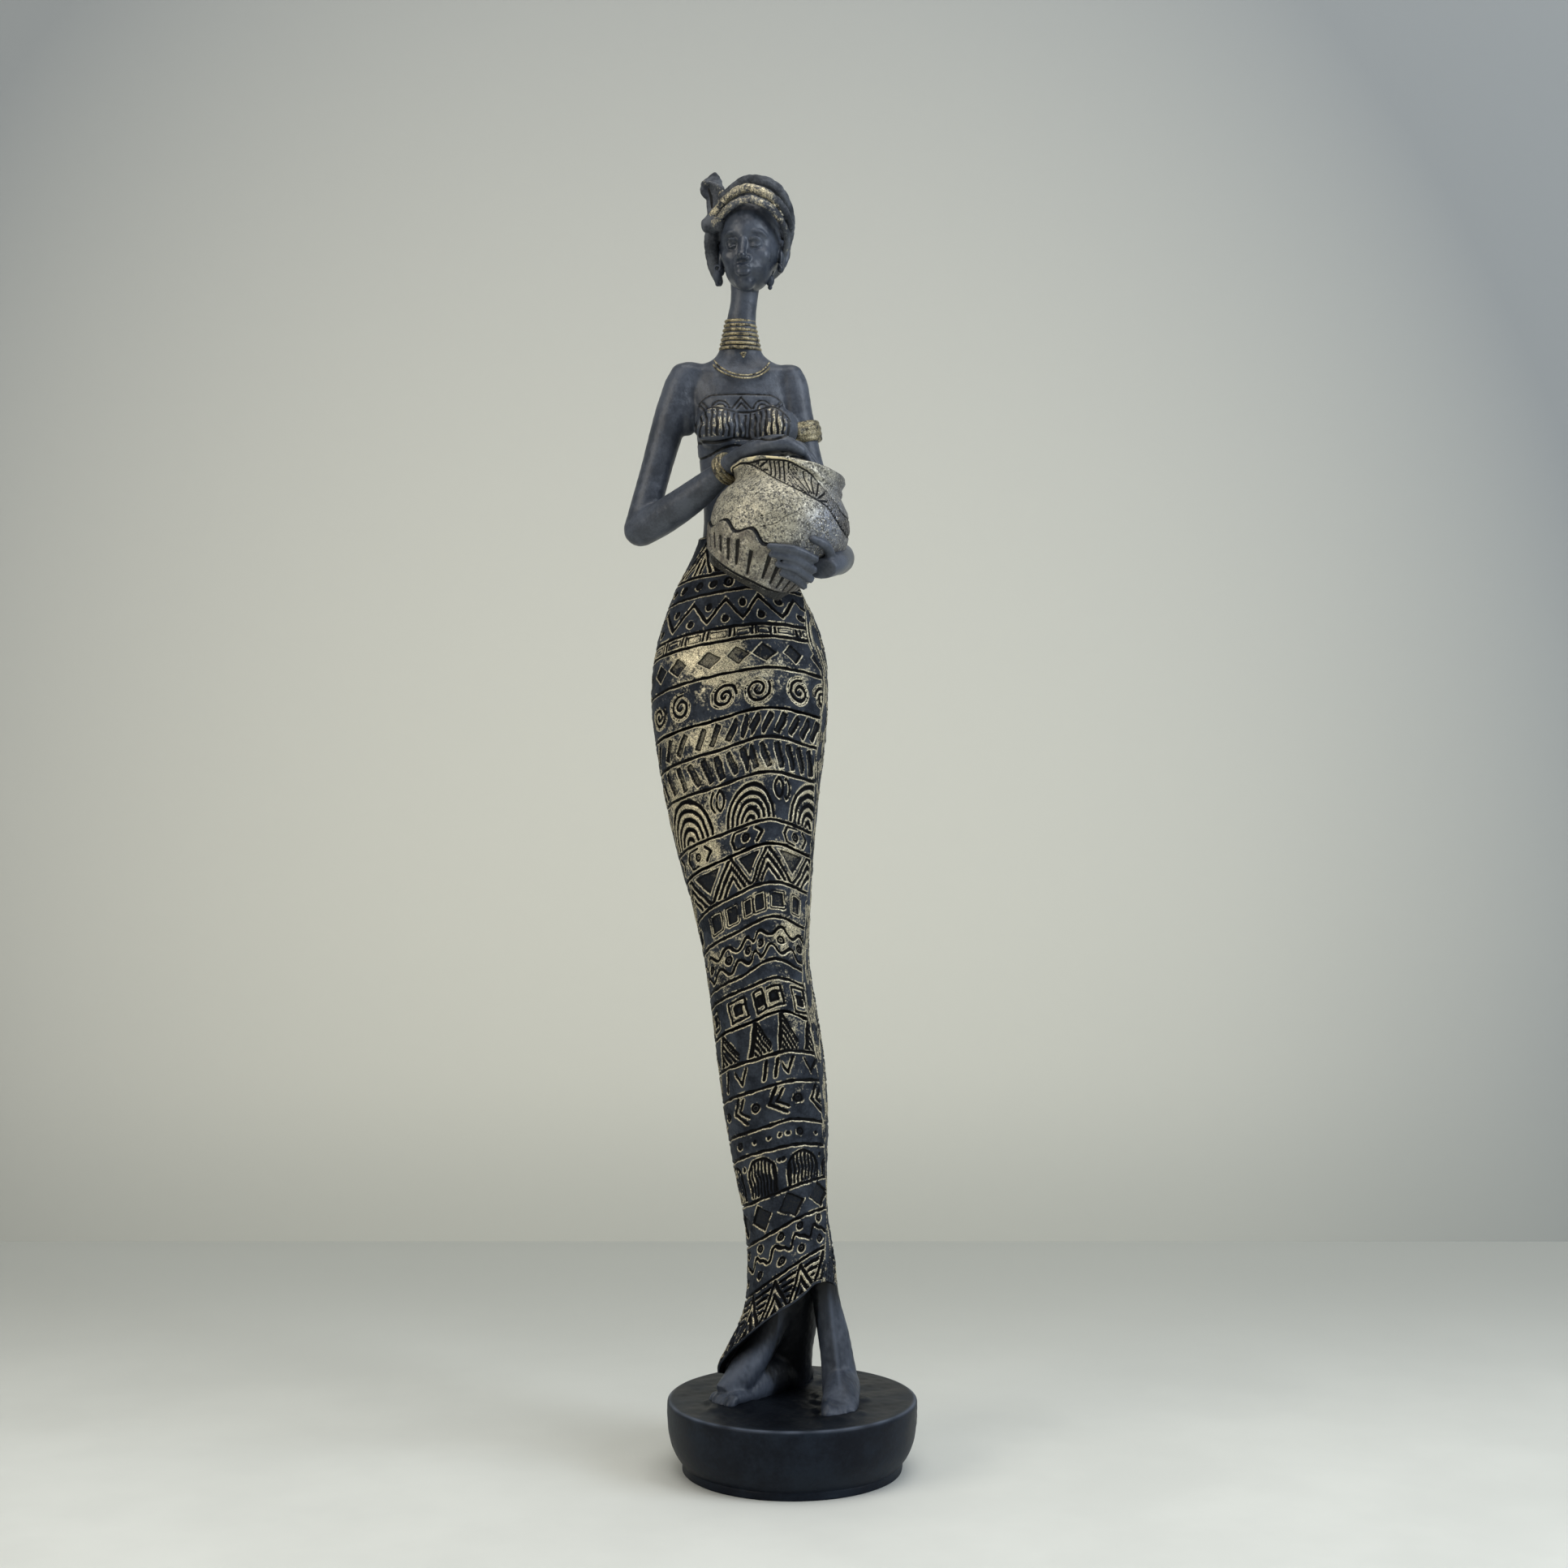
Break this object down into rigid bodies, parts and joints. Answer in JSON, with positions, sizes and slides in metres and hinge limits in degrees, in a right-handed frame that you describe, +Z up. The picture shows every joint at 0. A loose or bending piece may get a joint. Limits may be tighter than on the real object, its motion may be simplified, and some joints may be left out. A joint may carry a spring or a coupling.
{
  "type": "woman with jar figure",
  "caption": "Slender standing woman in a long banded wrap skirt, holding a round jar at her waist, cast in one with a round base.",
  "frame": {"origin": "centre of the round base's underside", "axes": "+Z up, -Y towards the viewer at the figure's front, +X at the viewer's right"},
  "size_m": [0.0898, 0.087, 0.4005],
  "materials": {
    "black_finish": "dark slate-black paint with a soft satin sheen",
    "gilt_rub": "antique gold rubbed on raised carving",
    "jar_finish": "speckled champagne and dull gold over black"
  },
  "bodies": {
    "root": {"head_and_wrap": "black_finish", "torso_with_jar": "black_finish", "skirt_and_base": "black_finish"}
  },
  "joints": []
}
